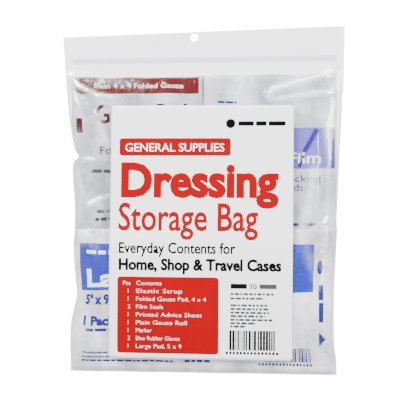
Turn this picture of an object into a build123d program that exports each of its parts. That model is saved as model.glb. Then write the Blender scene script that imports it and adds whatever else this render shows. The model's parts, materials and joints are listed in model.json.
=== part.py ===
from build123d import *
import os

# Bleeding-control kit: a clear reclosable bag with its wound packs, label and windlass tourniquet.
# Millimetres, +Z up, front faces -Y, origin at the centre of the hang hole in the bag's lip.

# ---- bag
bag_width = 281.0            # flat width at the lip
bag_height = 342.0           # bottom seam to top edge
body_width = 264.0           # width where the contents draw the side seams in
film = 0.4                   # modelled film wall
hole_radius = 4.0            # hang hole
hole_below_top = 6.5         # hang hole centre to top edge
hole_offset = -8.0           # hang hole centre from the bag's middle
lip_half = 1.2               # half thickness of the closed lip over the zip
zip_below_top = 29.0         # zip centre line to top edge
fold_below_top = 38.0        # line about which the front lip opens
lip_edge_run = 8.0           # width over which the lip closes to its side weld
front_depth = 20.5           # bag mid plane to the front film
gap = 0.3                    # clearance between packed pieces

# ---- zip profiles
zip_flange = (6.0, 0.25)     # height and thickness of each profile's flange
rib_size = (0.7, 0.8)        # height and reach of the rib
groove_gap = 0.35            # clearance above and below the rib
groove_wall = 0.6            # height of each of the groove's two walls

# ---- front label
label_size = (181.5, 250.3)
label_thickness = 0.3
label_below_top = 75.4
label_shift = 0.1            # label middle from the bag's middle

# ---- wound packs: width, height, rim, wall, half depth
sheet = 0.3
rim = 11.0
pack_corner = 8.0            # corner of a pack's raised middle
pillow_taper = 40.0          # degrees that a pack's raised middle leans in
trauma_size = (256.0, 134.0)
trauma_half_depth = 5.0
trauma_pad_size = (228.0, 108.0)
trauma_pad_corner = 6.0
dressing_size = (128.6, 176.0)
dressing_half_depth = 2.8
dressing_pad_size = (98.0, 100.0)
dressing_pad_corner = 2.0
dressing_shift = 1.0         # towards the bag's middle
chest_size = (128.0, 176.0)
chest_half_depth = 1.25
chest_seal_size = (100.0, 138.0)
chest_seal_thickness = 0.9
chest_seal_corner = 22.0
chest_vent_radius = 3.0
chest_vents = ((0, 14), (-12, -8), (12, -8))
pack_below_top = 45.5        # top edges of the upper packs
pack_middle_gap = 3.5        # between the two upper columns
bottom_clearance = 9.0       # bottom seam to the lowest pack
roll_pouch_size = (112.0, 82.0)
roll_pouch_half_depth = 11.0
gauze_roll_radius = 9.5
roll_back_space = 3.0        # behind the upper packs' front plane
roll_above = 6.0             # above the trauma pack's lower edge

# ---- folded sheet and gloves
leaf_size = (216.0, 93.0)
leaf_layers = 3
leaf_thickness = 0.35
leaf_above = 5.0             # above the trauma pack's lower edge
glove_size = (62.0, 118.0)
glove_thickness = 5.0
glove_corner = 10.0
glove_from_side = 14.0       # side seam to the gloves
glove_drop = 12.0            # rod axis to the gloves' middle
cuff_height = 18.0
cuff_step = 1.6
cuff_corner = 3.0
cuff_inset = 3.0             # cuff's side from the palm's side
cuff_thinner = 1.0

# ---- marker
marker_x = 96.0
marker_radius = 6.0
marker_length = 96.0
marker_wall = 1.2
marker_neck = (4.2, 12.0)    # radius and length of the neck under the cap
cap_radius = 6.7
cap_length = 46.0
cap_fit = 0.15
cap_clip = (4.0, 1.6, 34.0)  # width, reach and length of the cap's clip
cap_clip_rise = 4.0
nib_radius = 1.6
nib_length = 9.0
nib_seat = 8.0               # nib held in the neck
plug_length = 10.0
marker_base_above = 30.0     # bottom seam to the marker's plug

# ---- tourniquet
tq_middle_below_top = 156.5
band_width = 38.0
loop_length = 165.0
loop_depth = 9.0
band = 2.0
inner_band = 1.6
inner_width = 25.0
free_end_length = 128.0
plate_size = (44.0, 106.0)
plate_drop = 7.0             # rod axis to the plate's middle
plate_thickness = 2.4
plate_corner = 8.0
plate_edge = 0.5             # rounding of the plate's rim
slot_size = (27.0, 5.0)
rod_radius = 4.8
rod_length = 140.0
rod_edge = 1.6               # rounding of the rod's ends
groove_radius = 2.2          # finger grooves round the rod
groove_rise = 1.5            # groove section's centre above the rod's face
groove_start = 24.0
groove_pitch = 9.0
groove_count = 5             # on each side of the middle
rod_slot_space = 1.0         # added to the band's width and thickness
clip_drop = 50.0             # rod axis to the clip's middle
clip_length = 16.0
clip_wall = 2.4
clip_clear = 1.0             # rod to clip wall
clip_mouth = 11.0
clip_edge = 0.5              # rounding of the clip's end edges
strap_size = (40.0, 25.0)
strap_thickness = 1.2
buckle_size = (54.0, 30.0, 4.0)
buckle_slot = (42.0, 6.0)
buckle_bar = 5.0
buckle_corner = 4.0
buckle_edge = 0.9            # rounding of the buckle's outer rim
buckle_space = 1.5           # plate's edge to the buckle
tab_length = 24.0
tab_wider = 3.0              # tab past the band on each side

# ---- derived places
middle = -hole_offset
top = hole_below_top
bottom = top - bag_height
fold = top - fold_below_top
zip_line = top - zip_below_top
half_lip = bag_width / 2
half_body = body_width / 2
pack_top = top - pack_below_top
trauma_plane = -(front_depth - film - gap - sheet - trauma_half_depth - gap)
upper_front = trauma_plane + trauma_half_depth + sheet + gap
dressing_plane = upper_front + dressing_half_depth + sheet
chest_plane = upper_front + chest_half_depth + sheet
chest_step = 2 * (chest_half_depth + sheet) + gap / 2
tq_middle = top - tq_middle_below_top
tq_front = dressing_plane + dressing_half_depth + sheet + gap
loop_back = tq_front + band + gap / 2 + loop_depth
plate_back = loop_back + plate_thickness
clip_top = plate_back + clip_wall / 2 + 2 * rod_radius + clip_clear + clip_wall
rod_axis = clip_top + gap + rod_radius
back_depth = rod_axis + rod_radius + 2 * gap + film

nodes = {}


def keep(name, shape):
    nodes[name] = Pos(middle, 0, 0) * shape


def block(x, y, z):
    return Pos(sum(x) / 2, sum(y) / 2, sum(z) / 2) * Box(x[1] - x[0], y[1] - y[0], z[1] - z[0])


# ---- bag film: sections across X at stations down Z, each with rounded shoulders
front_shape = [(1.0, 0.0), (0.985, 0.5), (0.97, 0.78), (0.93, 0.92), (0.88, 0.985), (0.6, 1.0)]
back_shape = [(1.0, 0.0), (0.985, 0.3), (0.95, 0.62), (0.88, 0.84), (0.78, 0.96), (0.6, 1.0)]


def film_section(z, half, depth, side, shape):
    outer = [(x * half, side * (film + (depth - film) * y)) for x, y in shape]
    outer += [(-x, y) for x, y in reversed(outer)]
    inner = [(x, y - side * film) for x, y in reversed(outer)]
    return Pos(0, 0, z) * make_face(Polyline(*outer, *inner, close=True))


def body_half(share):
    return half_body + (half_lip - half_body) * share


def film_body(side, depth, shape, shares):
    stations = [(fold, half_lip, lip_half)]
    stations += [(fold - drop, body_half(width), share * depth)
                 for (drop, width), share in zip(((7, 0.9), (18, 0.75), (40, 0.5), (95, 0.15)), shares)]
    stations += [(bottom + 9, half_body, depth), (bottom + 4.5, half_body, 0.72 * depth),
                 (bottom, half_body, film)]
    return loft([film_section(z, half, d, side, shape) for z, half, d in stations], ruled=True)


def lip_film(side):
    shape = [(1.0, 0.0), (1 - lip_edge_run / half_lip, 1.0)]
    wall = extrude(film_section(fold, half_lip, lip_half, side, shape), top - fold)
    hole = Pos(hole_offset, 0, 0) * Rot(90, 0, 0) * Cylinder(hole_radius, 6 * lip_half)
    return wall - hole


front_shares = (0.42, 0.64, 0.9, 1.0)
back_shares = (0.34, 0.62, 1.0, 1.0)
keep("front_film", film_body(-1, front_depth, front_shape, front_shares))
keep("back_film", film_body(1, back_depth, back_shape, back_shares))
keep("front_lip", lip_film(-1))
keep("back_lip", lip_film(1))

# ---- zip: a rib on the front lip that seats between two walls on the back lip
face = lip_half - film
zip_half = half_lip - lip_edge_run
flange_half = zip_flange[0] / 2
flange = zip_flange[1]
groove_low = rib_size[0] / 2 + groove_gap
groove_reach = 2 * (face - flange) - gap
rib = block((-zip_half, zip_half), (-face, -face + flange), (-flange_half, flange_half))
rib += block((-zip_half, zip_half), (-face + flange, -face + flange + rib_size[1]),
             (-rib_size[0] / 2, rib_size[0] / 2))
groove = block((-zip_half, zip_half), (face - flange, face), (-flange_half, flange_half))
for side in (-1, 1):
    walls = sorted((side * groove_low, side * (groove_low + groove_wall)))
    groove += block((-zip_half, zip_half), (face - flange - groove_reach, face - flange), walls)
keep("zip_rib", Pos(0, 0, zip_line) * rib)
keep("zip_groove", Pos(0, 0, zip_line) * groove)


# ---- front label: follows the front film's face from its top edge to its bottom edge
def label_section(z, depth):
    half = label_size[0] / 2
    return Pos(0, 0, z) * make_face(Polyline(
        (label_shift - half, -depth), (label_shift + half, -depth),
        (label_shift + half, -depth - label_thickness), (label_shift - half, -depth - label_thickness),
        close=True))


label_top = top - label_below_top
label_bottom = label_top - label_size[1]
bend = fold - 95
slope = (1 - front_shares[2]) * front_depth / (95 - 40)
label_sections = [(label_top, front_depth - (label_top - bend) * slope), (bend, front_depth),
                  (label_bottom, front_depth)]
keep("kit_label", loft([label_section(z, d) for z, d in label_sections], ruled=True))


# ---- flat packs: two sheets sealed round their rims with the content between them
def pack_sheet(size, half_depth, side):
    def pillow(inset, depth):
        base = RectangleRounded(size[0] - 2 * (rim + inset), size[1] - 2 * (rim + inset), pack_corner)
        return extrude(base, depth, taper=pillow_taper)
    outer = pillow(0, half_depth + sheet)
    inner = pillow(sheet, half_depth)
    shell = extrude(Rectangle(*size), sheet) + outer - inner
    return Rot(90, 0, 0) * shell if side < 0 else Rot(-90, 0, 0) * shell


def flat_pad(size, thickness, radius):
    pad = extrude(RectangleRounded(*size, radius), thickness / 2, both=True)
    return Rot(90, 0, 0) * pad


def place(x, y, z):
    return Pos(x, y, z)


trauma_at = place(0, trauma_plane, bottom + bottom_clearance + trauma_size[1] / 2)
keep("trauma_pouch_front", trauma_at * pack_sheet(trauma_size, trauma_half_depth, -1))
keep("trauma_pouch_back", trauma_at * pack_sheet(trauma_size, trauma_half_depth, 1))
keep("trauma_pad", trauma_at * flat_pad(
    (trauma_pad_size[0] - 2 * trauma_half_depth, trauma_pad_size[1] - 2 * trauma_half_depth),
    2 * (trauma_half_depth - gap), trauma_pad_corner))

upper_z = pack_top - dressing_size[1] / 2
dressing_at = place(-(pack_middle_gap + dressing_size[0]) / 2 + dressing_shift, dressing_plane, upper_z)
keep("dressing_pouch_front", dressing_at * pack_sheet(dressing_size, dressing_half_depth, -1))
keep("dressing_pouch_back", dressing_at * pack_sheet(dressing_size, dressing_half_depth, 1))
keep("dressing_pad", dressing_at * flat_pad(
    dressing_pad_size, 2 * (dressing_half_depth - gap), dressing_pad_corner))


def chest_seal():
    seal = extrude(RectangleRounded(*chest_seal_size, chest_seal_corner), chest_seal_thickness / 2, both=True)
    for x, y in chest_vents:
        seal -= Pos(x, y) * Cylinder(chest_vent_radius, chest_seal_thickness)
    return Rot(90, 0, 0) * seal


chest_x = (pack_middle_gap + chest_size[0]) / 2
for number, letter in enumerate("ab"):
    at = place(chest_x, chest_plane + number * chest_step, pack_top - chest_size[1] / 2)
    keep(f"chest_pouch_{letter}_front", at * pack_sheet(chest_size, chest_half_depth, -1))
    keep(f"chest_pouch_{letter}_back", at * pack_sheet(chest_size, chest_half_depth, 1))
    keep(f"chest_seal_{letter}", at * chest_seal())

roll_at = place(0, upper_front + roll_pouch_half_depth + sheet + roll_back_space,
                bottom + bottom_clearance + roll_above + roll_pouch_size[1] / 2)
keep("roll_pouch_front", roll_at * pack_sheet(roll_pouch_size, roll_pouch_half_depth, -1))
keep("roll_pouch_back", roll_at * pack_sheet(roll_pouch_size, roll_pouch_half_depth, 1))
gauze_roll_length = roll_pouch_size[0] - 2 * (rim + sheet + roll_pouch_half_depth)
keep("gauze_roll", roll_at * Rot(0, 90, 0) * Cylinder(gauze_roll_radius, gauze_roll_length))

# ---- folded leaflet: leaves joined by a fold at alternate long edges
leaf_pitch = leaf_thickness + gap / 2
leaflet_z = bottom + bottom_clearance + leaf_above
leaves = []
for n in range(leaf_layers):
    low = upper_front + n * leaf_pitch
    leaves.append(block((-leaf_size[0] / 2, leaf_size[0] / 2), (low, low + leaf_thickness),
                        (leaflet_z, leaflet_z + leaf_size[1])))
    if n:
        edge = leaflet_z if n % 2 else leaflet_z + leaf_size[1] - leaf_thickness
        leaves.append(block((-leaf_size[0] / 2, leaf_size[0] / 2), (low - gap / 2, low),
                            (edge, edge + leaf_thickness)))
keep("instruction_leaflet", Part() + leaves)


# ---- folded gloves, one on the other
def folded_glove():
    palm = extrude(RectangleRounded(*glove_size, glove_corner), glove_thickness)
    cuff = Pos(0, cuff_step + (glove_size[1] - cuff_height) / 2) * extrude(
        RectangleRounded(glove_size[0] - 2 * cuff_inset, cuff_height, cuff_corner),
        glove_thickness - cuff_thinner)
    return Rot(-90, 0, 0) * (palm + cuff)


glove_x = -half_body + glove_from_side + glove_size[0] / 2
for number, name in enumerate(("glove_left", "glove_right")):
    glove_y = tq_front + number * (glove_thickness + gap)
    keep(name, place(glove_x, glove_y, tq_middle - glove_drop) * folded_glove())

# ---- marker: barrel with a neck for the cap, nib, end plug
marker_y = tq_front + cap_radius
marker_z = bottom + marker_base_above + plug_length / 2
neck_z = marker_z + marker_length
barrel = Pos(0, 0, marker_z + marker_length / 2) * Cylinder(marker_radius, marker_length)
barrel += Pos(0, 0, neck_z + marker_neck[1] / 2) * Cylinder(marker_neck[0], marker_neck[1])
barrel -= Pos(0, 0, marker_z + marker_length / 2 - marker_wall) * Cylinder(
    marker_radius - marker_wall, marker_length - 2 * marker_wall + 0.001)
barrel -= Pos(0, 0, marker_z) * Cylinder(marker_radius - marker_wall, 2 * marker_wall + 4)
barrel -= Pos(0, 0, neck_z + marker_neck[1] / 2) * Cylinder(nib_radius, 2 * marker_neck[1])
marker_at = place(marker_x, marker_y, 0)
keep("marker_barrel", marker_at * barrel)
nib_low = neck_z + marker_neck[1] - nib_seat
keep("marker_nib", marker_at * (Pos(0, 0, nib_low + (nib_seat + nib_length) / 2)
                                * Cylinder(nib_radius, nib_seat + nib_length)))
plug = Pos(0, 0, marker_z - plug_length / 4) * Cylinder(marker_radius, plug_length / 2)
plug += Pos(0, 0, marker_z + plug_length / 4) * Cylinder(marker_radius - marker_wall, plug_length / 2)
keep("marker_plug", marker_at * plug)
cap = Pos(0, 0, neck_z + cap_length / 2) * Cylinder(cap_radius, cap_length)
cap -= Pos(0, 0, neck_z + (cap_length - marker_wall) / 2) * Cylinder(
    marker_neck[0] + cap_fit, cap_length - marker_wall)
cap += Pos(0, cap_radius, neck_z + cap_length / 2 + cap_clip_rise) * Box(*cap_clip)
keep("marker_cap", marker_at * cap)


# ---- tourniquet: flattened band loops, plate, clip, rod, strap and buckle
def loop_ring(length, depth, wall, width):
    ring = SlotOverall(length, depth) - SlotOverall(length - 2 * wall, depth - 2 * wall)
    return Rot(0, 90, 0) * extrude(ring, width / 2, both=True)


loop_axis = loop_back - loop_depth / 2
keep("outer_band", place(0, loop_axis, tq_middle) * loop_ring(loop_length, loop_depth, band, band_width))
keep("inner_band", place(0, loop_axis, tq_middle) * loop_ring(
    loop_length - 2 * band - 2 * gap, loop_depth - 2 * band - gap, inner_band, inner_width))
free_low = tq_middle - free_end_length / 2
keep("band_free_end", block((-band_width / 2, band_width / 2), (tq_front, tq_front + band),
                            (free_low, free_low + free_end_length)))
keep("pull_tab", block((-band_width / 2 - tab_wider, band_width / 2 + tab_wider), (tq_front, tq_front + band),
                       (free_low - tab_length, free_low)))


def rounded_slab(size, corner, thickness, edge):
    slab = extrude(RectangleRounded(*size, corner), thickness)
    faces = slab.edges().group_by(Axis.Z)
    return fillet(faces[0] + faces[-1], edge)


plate = Pos(0, 0, -plate_drop) * Rot(-90, 0, 0) * rounded_slab(
    plate_size, plate_corner, plate_thickness, plate_edge)
for side in (-1, 1):
    plate -= Pos(0, plate_thickness / 2, side * slot_size[0] / 2) * Box(
        slot_size[0], 2 * plate_thickness, slot_size[1])
keep("base_plate", place(0, loop_back, tq_middle) * plate)

column_low = rod_axis - rod_radius - gap
riser = block((-inner_width / 2, inner_width / 2), (plate_back, column_low), (-inner_band, inner_band))
keep("band_riser", place(0, 0, tq_middle) * riser)

# rod with finger grooves and a through slot that carries the short band loop
rod = Cylinder(rod_radius, rod_length)
rod = fillet(rod.edges().filter_by(GeomType.CIRCLE), rod_edge)
for side in (-1, 1):
    for n in range(groove_count):
        at = side * (groove_start + groove_pitch * n)
        rod -= Pos(0, 0, at) * Torus(rod_radius + groove_rise, groove_radius)
rod -= Box(2 * inner_band + rod_slot_space, 4 * rod_radius, inner_width + 2 * rod_slot_space)
keep("windlass_rod", place(0, rod_axis, tq_middle) * rod)
keep("rod_band_loop", place(0, rod_axis, tq_middle) * Box(
    2 * inner_band, 2 * rod_radius, inner_width))

# clip: two walls with inturned hooks, open towards the rod between them
clip_half = rod_radius + clip_clear
clip_low = -clip_length / 2
clip_y = clip_top - plate_back
clip = block((-clip_half - clip_wall, clip_half + clip_wall), (0, clip_wall / 2),
             (clip_low, clip_low + clip_length))
for side in (-1, 1):
    wall_x = sorted((side * clip_half, side * (clip_half + clip_wall)))
    hook_x = sorted((side * clip_mouth / 2, side * (clip_half + clip_wall)))
    clip += block(wall_x, (0, clip_y), (clip_low, clip_low + clip_length))
    clip += block(hook_x, (clip_y - clip_wall, clip_y), (clip_low, clip_low + clip_length))
ends = clip.edges().group_by(Axis.Z)
clip = fillet(ends[0] + ends[-1], clip_edge)
keep("windlass_clip", place(0, plate_back, tq_middle - clip_drop) * clip)

# securing strap: lies open beside the clip, its fold along the clip's foot
strap_x = clip_half + clip_wall + gap
strap_z = tq_middle - clip_drop
keep("securing_strap", block((-strap_x - strap_size[0], -strap_x), (plate_back + gap / 2,
     plate_back + gap / 2 + strap_thickness), (strap_z - strap_size[1] / 2, strap_z + strap_size[1] / 2)))

buckle = Rot(-90, 0, 0) * rounded_slab(buckle_size[:2], buckle_corner, buckle_size[2], buckle_edge)
for side in (-1, 1):
    buckle -= Pos(0, buckle_size[2] / 2, side * (buckle_bar + buckle_slot[1]) / 2) * Box(
        buckle_slot[0], 2 * buckle_size[2], buckle_slot[1])
buckle_z = tq_middle + plate_size[1] / 2 - plate_drop + buckle_space + buckle_size[1] / 2
keep("buckle", place(0, loop_back, buckle_z) * buckle)

os.makedirs("parts", exist_ok=True)
for name, shape in nodes.items():
    export_step(shape, f"parts/{name}.step")
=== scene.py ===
import bpy, bmesh, json, math, random
from mathutils import Matrix, Vector, noise


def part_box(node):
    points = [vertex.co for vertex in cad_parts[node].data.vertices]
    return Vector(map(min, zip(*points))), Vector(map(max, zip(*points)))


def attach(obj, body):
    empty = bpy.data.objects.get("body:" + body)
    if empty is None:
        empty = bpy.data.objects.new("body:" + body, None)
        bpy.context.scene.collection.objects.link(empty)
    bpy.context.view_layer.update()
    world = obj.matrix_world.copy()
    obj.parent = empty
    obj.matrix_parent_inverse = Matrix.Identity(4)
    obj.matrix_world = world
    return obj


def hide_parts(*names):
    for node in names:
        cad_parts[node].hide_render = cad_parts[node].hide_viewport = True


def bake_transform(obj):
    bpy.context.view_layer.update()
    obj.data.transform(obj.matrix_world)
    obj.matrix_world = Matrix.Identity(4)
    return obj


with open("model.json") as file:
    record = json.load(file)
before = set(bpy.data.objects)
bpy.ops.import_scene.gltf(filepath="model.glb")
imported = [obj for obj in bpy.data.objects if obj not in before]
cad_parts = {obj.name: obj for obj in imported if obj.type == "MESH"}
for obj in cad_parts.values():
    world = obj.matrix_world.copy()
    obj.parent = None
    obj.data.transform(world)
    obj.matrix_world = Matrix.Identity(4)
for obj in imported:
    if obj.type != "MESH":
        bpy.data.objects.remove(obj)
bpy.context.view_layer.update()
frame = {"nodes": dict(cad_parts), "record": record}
nodes = frame["nodes"]
mm = 0.001
print("frame:", len(nodes), "nodes")


# shader helpers
class Socket:
    def __init__(self, finish, end):
        self.finish, self.end = finish, end

    def maths(self, operation, *values):
        return self.finish.node("Math", {"operation": operation}, dict(enumerate(values)))

    def __add__(self, other):
        return self.maths("ADD", self, other)

    def __radd__(self, other):
        return self.maths("ADD", other, self)

    def __sub__(self, other):
        return self.maths("SUBTRACT", self, other)

    def __rsub__(self, other):
        return self.maths("SUBTRACT", other, self)

    def __mul__(self, other):
        return self.maths("MULTIPLY", self, other)

    def __rmul__(self, other):
        return self.maths("MULTIPLY", other, self)

    def __truediv__(self, other):
        return self.maths("DIVIDE", self, other)

    def __pow__(self, other):
        return self.maths("POWER", self, other)

    def __abs__(self):
        return self.maths("ABSOLUTE", self)

    def sine(self):
        return self.maths("SINE", self)

    def least(self, other):
        return self.maths("MINIMUM", self, other)

    def most(self, other):
        return self.maths("MAXIMUM", self, other)

    def clamp(self):
        return self.most(0.0).least(1.0)


class Finish:
    def __init__(self, name, flatMap=False):
        self.material = bpy.data.materials.new(name)
        self.material.use_nodes = True
        self.tree = self.material.node_tree
        self.tree.nodes.clear()
        self.place = self.node("UVMap") if flatMap else self.node("TexCoord", out="Object")
        split = self.node("SeparateXYZ", {}, {0: self.place})
        self.x, self.y, self.z = [Socket(self, end) for end in split.end.node.outputs]

    def node(self, kind, settings=None, sockets=None, out=0):
        made = self.tree.nodes.new("ShaderNode" + kind)
        for key, value in (settings or {}).items():
            setattr(made, key, value)
        for key, value in (sockets or {}).items():
            if isinstance(value, Socket):
                self.tree.links.new(value.end, made.inputs[key])
            else:
                made.inputs[key].default_value = value
        return Socket(self, made.outputs[out])

    def speckle(self, scale, detail=3.0, stretch=(1, 1, 1)):
        place = self.node("Mapping", {}, {"Vector": self.place, "Scale": stretch})
        return self.node("TexNoise", {}, {"Vector": place, "Scale": scale, "Detail": detail})

    def mix(self, factor, first, second):
        return self.node("Mix", {"data_type": "RGBA"}, {0: factor, 6: first, 7: second}, out=2)

    def bump(self, height, distance, strength=1.0):
        return self.node("Bump", {}, {"Height": height, "Distance": distance, "Strength": strength})

    def band(self, value, low, high, soft):
        return ((value - low) / soft).clamp() * ((high - value) / soft).clamp()

    def principled(self, **values):
        names = {key: key.replace("_", " ") for key in values}
        return self.node("BsdfPrincipled", {}, {names[key]: value for key, value in values.items()})

    def done(self, shader):
        output = self.tree.nodes.new("ShaderNodeOutputMaterial")
        self.tree.links.new(shader.end, output.inputs["Surface"])
        return self.material


def paint(r, g, b):
    return (r, g, b, 1.0)


# finishes
def clearFilm():
    made = Finish("clearFilm")
    # the film's attribute: haze along its welds, and painted highlights, white put along the front's folds and
    # in pale patches
    sealHazeAndHighlight = made.node("Attribute", {"attribute_name": "sealHazeAndHighlight"}, out="Fac")
    facing = made.node("LayerWeight", {}, {"Blend": 0.5}, out="Facing")
    mirror = 0.014 + facing ** 4.0 * 0.55 + sealHazeAndHighlight * 0.16
    # the film's own slight haze plus the attribute's painted highlight whiteness; the attribute also raises
    # the reflection above
    hazeAndPaintedHighlight = 0.002 + sealHazeAndHighlight * 0.44 + facing ** 3.0 * 0.20
    ripple = made.speckle(60.0, 2.0) + made.speckle(260.0, 2.0) * 0.25
    shell = made.principled(Base_Color=paint(0.96, 0.97, 0.98), Metallic=mirror / (mirror + hazeAndPaintedHighlight),
                            Roughness=0.13, Normal=made.bump(ripple, 0.0011))
    air = made.node("BsdfTransparent", {}, {"Color": paint(0.985, 0.985, 0.99)})
    return made.done(made.node("MixShader", {}, {0: (mirror + hazeAndPaintedHighlight).least(0.9), 1: air, 2: shell}))


def zipPlastic():
    made = Finish("zipPlastic")
    facing = made.node("LayerWeight", {}, {"Blend": 0.5}, out="Facing")
    cloud = made.speckle(120.0, 2.0, (0.2, 1, 1))
    shell = made.principled(Base_Color=paint(0.80, 0.81, 0.84), Roughness=0.2, Metallic=0.25,
                            Normal=made.bump(cloud, 0.0004))
    air = made.node("BsdfTransparent", {}, {"Color": paint(0.97, 0.97, 0.98)})
    cover = 0.05 + cloud * 0.05 + facing ** 3.0 * 0.2
    return made.done(made.node("MixShader", {}, {0: cover, 1: air, 2: shell}))


def labelPaper():
    made = Finish("labelPaper")
    grain = made.speckle(900.0, 4.0)
    cloud = made.speckle(14.0, 2.0)
    shade = made.mix(cloud, paint(0.80, 0.80, 0.80), paint(0.84, 0.84, 0.845))
    return made.done(made.principled(Base_Color=shade, Roughness=0.34 + grain * 0.08,
                                     Normal=made.bump(grain, 0.00004)))


def ink(name, colour, roughness=0.5):
    made = Finish(name)
    grain = made.speckle(1400.0, 3.0)
    cloud = made.speckle(40.0, 2.0)
    dark = tuple(0.9 * part for part in colour)
    shade = made.mix(cloud, paint(*dark), paint(*colour))
    return made.done(made.principled(Base_Color=shade, Roughness=roughness + grain * 0.08,
                                     Specular_IOR_Level=0.0))


def pouchFilm(name, base, blocks=()):
    # blocks: (x low, x high, z low, z high, colour) in millimetres from the pouch's lower left corner
    made = Finish(name, flatMap=True)
    broad = made.speckle(38.0, 2.0, (1, 0.55, 1))
    fine = made.speckle(240.0, 4.0)
    crush = abs(made.speckle(85.0, 3.0, (1, 0.7, 1)) - 0.5)
    # broad patches paint the base colour lighter and darker: painted highlights and painted shade for the
    # light on the crinkled film
    dark = tuple(0.70 * part for part in base)
    light = tuple(1.38 * part for part in base)
    shade = made.mix((broad * 3.2 - 1.1 + (fine - 0.5) * 0.6).clamp(), paint(*dark), paint(*light))
    for low, high, under, over, colour in blocks:
        soft = 0.25 * mm
        mask = made.band(made.x, low * mm, high * mm, soft) * made.band(made.y, under * mm, over * mm, soft)
        # the printed fields take the same painted highlights and shade in the broad patches
        tint = made.mix(broad, paint(*[0.82 * part for part in colour]), paint(*colour))
        shade = made.mix(mask, shade, tint)
    return made.done(made.principled(
        Base_Color=shade, Roughness=0.24 + fine * 0.14, Specular_IOR_Level=0.22,
        Normal=made.bump(broad * 0.7 + crush * 0.9 + fine * 0.06, 0.0028)))


def webbing(name, colour, ribs=(0.8, 1.5)):
    # a plain weave over the piece's own map: x runs across the width, y along the length
    made = Finish(name, flatMap=True)
    across = (made.x * (math.tau / (ribs[0] * mm))).sine()
    longwise = (made.y * (math.tau / (ribs[1] * mm))).sine()
    weave = across * longwise * 0.5 + 0.5
    fuzz = made.speckle(2600.0, 4.0)
    lint = made.speckle(160.0, 3.0)
    light = tuple(min(1.0, 2.2 * part + 0.003) for part in colour)
    shade = made.mix(weave * 0.6 + fuzz * 0.4, paint(*colour), paint(*light))
    shade = made.mix(lint * 0.25, shade, paint(*light))
    return made.done(made.principled(Base_Color=shade, Roughness=0.82, Sheen_Weight=0.25,
                                     Normal=made.bump(weave + fuzz * 0.5, 0.00025)))


def nylon(name, colour, roughness=0.42):
    made = Finish(name)
    grain = made.speckle(1500.0, 4.0)
    scuff = made.speckle(90.0, 4.0)
    light = tuple(part * 1.6 + 0.003 for part in colour)
    shade = made.mix(scuff ** 2.0, paint(*colour), paint(*light))
    return made.done(made.principled(Base_Color=shade, Roughness=roughness + grain * 0.15,
                                     Normal=made.bump(grain, 0.00006)))


def gauzeCloth():
    made = Finish("gauzeCloth")
    weave = (made.x * (math.tau / (1.1 * mm))).sine() * (made.z * (math.tau / (1.1 * mm))).sine()
    fuzz = made.speckle(900.0, 4.0)
    shade = made.mix(weave * 0.3 + fuzz * 0.5, paint(0.78, 0.77, 0.74), paint(0.93, 0.92, 0.90))
    return made.done(made.principled(Base_Color=shade, Roughness=0.9,
                                     Normal=made.bump(weave + fuzz, 0.0003)))


def gloveRubber():
    made = Finish("gloveRubber")
    cloud = made.speckle(70.0, 3.0)
    pores = made.speckle(1800.0, 3.0)
    shade = made.mix(cloud, paint(0.020, 0.055, 0.26), paint(0.040, 0.090, 0.36))
    return made.done(made.principled(Base_Color=shade, Roughness=0.45 + pores * 0.15,
                                     Normal=made.bump(cloud * 0.8 + pores * 0.1, 0.0012)))


def sealGel():
    made = Finish("sealGel")
    cloud = made.speckle(50.0, 3.0)
    shade = made.mix(cloud, paint(0.66, 0.76, 0.82), paint(0.78, 0.86, 0.90))
    return made.done(made.principled(Base_Color=shade, Roughness=0.18, Normal=made.bump(cloud, 0.0006)))


def stagePaper():
    # a lit white sweep, brighter where nothing clear is in front of it
    made = Finish("stagePaper")
    seen = made.node("LightPath", out="Is Camera Ray")
    bare = 1 - made.node("LightPath", out="Transparent Depth").least(1.0)
    strength = 1.6 + seen * (2.3 + bare * 14.0)
    return made.done(made.node("Emission", {}, {"Color": paint(1, 1, 1), "Strength": strength}))


finishes = {
    "film": clearFilm(), "zip": zipPlastic(), "label": labelPaper(), "gauze": gauzeCloth(),
    "glove": gloveRubber(), "gel": sealGel(), "stage": stagePaper(),
    "redInk": ink("redInk", (0.255, 0.0, 0.003)), "blackInk": ink("blackInk", (0.004, 0.004, 0.0045)),
    "whiteInk": ink("whiteInk", (0.86, 0.86, 0.86)), "greyInk": ink("greyInk", (0.05, 0.05, 0.055)),
    "blueInk": ink("blueInk", (0.004, 0.006, 0.16)), "maroonInk": ink("maroonInk", (0.055, 0.003, 0.007)),
    # a dark blue for the painted shade strips in the seal packs' folds
    "foldInk": ink("foldInk", (0.030, 0.018, 0.22)),
    "black": webbing("blackWebbing", (0.0045, 0.0045, 0.005)),
    "grey": webbing("greyWebbing", (0.022, 0.022, 0.024), (0.6, 1.0)),
    "red": webbing("redWebbing", (0.20, 0.004, 0.004)),
    "strap": webbing("strapWebbing", (0.62, 0.62, 0.60)),
    "nylon": nylon("blackNylon", (0.004, 0.004, 0.0045)),
    "barrel": nylon("markerBarrel", (0.17, 0.18, 0.19), 0.3),
    "cap": nylon("markerCap", (0.0035, 0.0035, 0.004), 0.2),
    "felt": nylon("markerFelt", (0.003, 0.003, 0.003), 0.8),
    "leaf": ink("leafPaper", (0.86, 0.86, 0.85), 0.6),
}
print("finishes:", len(finishes))


# shaping helpers; lengths along the bag's face are in millimetres from its middle and the hang hole
frontLow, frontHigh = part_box("front_film")
middleX = (frontLow.x + frontHigh.x) / 2 / mm
halfLip = (frontHigh.x - frontLow.x) / 2 / mm
bottomZ = frontLow.z / mm
foldZ = frontHigh.z / mm
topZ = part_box("front_lip")[1].z / mm


def nodeBox(node):
    # a node's box in millimetres from the bag's middle
    low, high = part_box(node)
    shift = Vector((middleX, 0, 0))
    return low / mm - shift, high / mm - shift


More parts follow.
